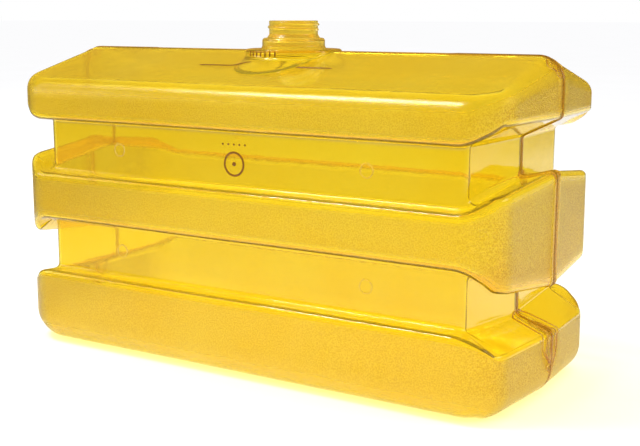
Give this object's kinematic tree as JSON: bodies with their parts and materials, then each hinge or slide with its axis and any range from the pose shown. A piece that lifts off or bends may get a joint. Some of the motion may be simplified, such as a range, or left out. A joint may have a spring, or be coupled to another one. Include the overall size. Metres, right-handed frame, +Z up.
{
  "type": "water filled barrier",
  "caption": "Hollow blow-moulded water tank with three stepped belts, deep channels, a gable roof and a threaded filler neck, in clear amber plastic.",
  "frame": {"origin": "middle of the flat base", "axes": "+X along the tank, +Y from front to back across it, +Z up along the filler neck"},
  "size_m": [0.4736, 0.198, 0.282],
  "materials": {
    "amber_skin": "transparent amber, glossy, with fine grain on the belts",
    "amber_seam": "transparent amber, darker where the weld is thick",
    "amber_neck": "transparent amber, glossy",
    "amber_marks": "raised marks in the amber plastic"
  },
  "bodies": {
    "root": {"front_shell": "amber_skin", "rear_shell": "amber_skin", "parting_seam": "amber_seam", "neck_boss": "amber_skin", "neck_collar": "amber_neck", "filler_neck": "amber_neck", "neck_thread": "amber_neck", "fill_line": "amber_marks", "fill_ticks": "amber_marks", "mould_mark": "amber_marks", "vent_discs": "amber_skin"}
  },
  "joints": []
}
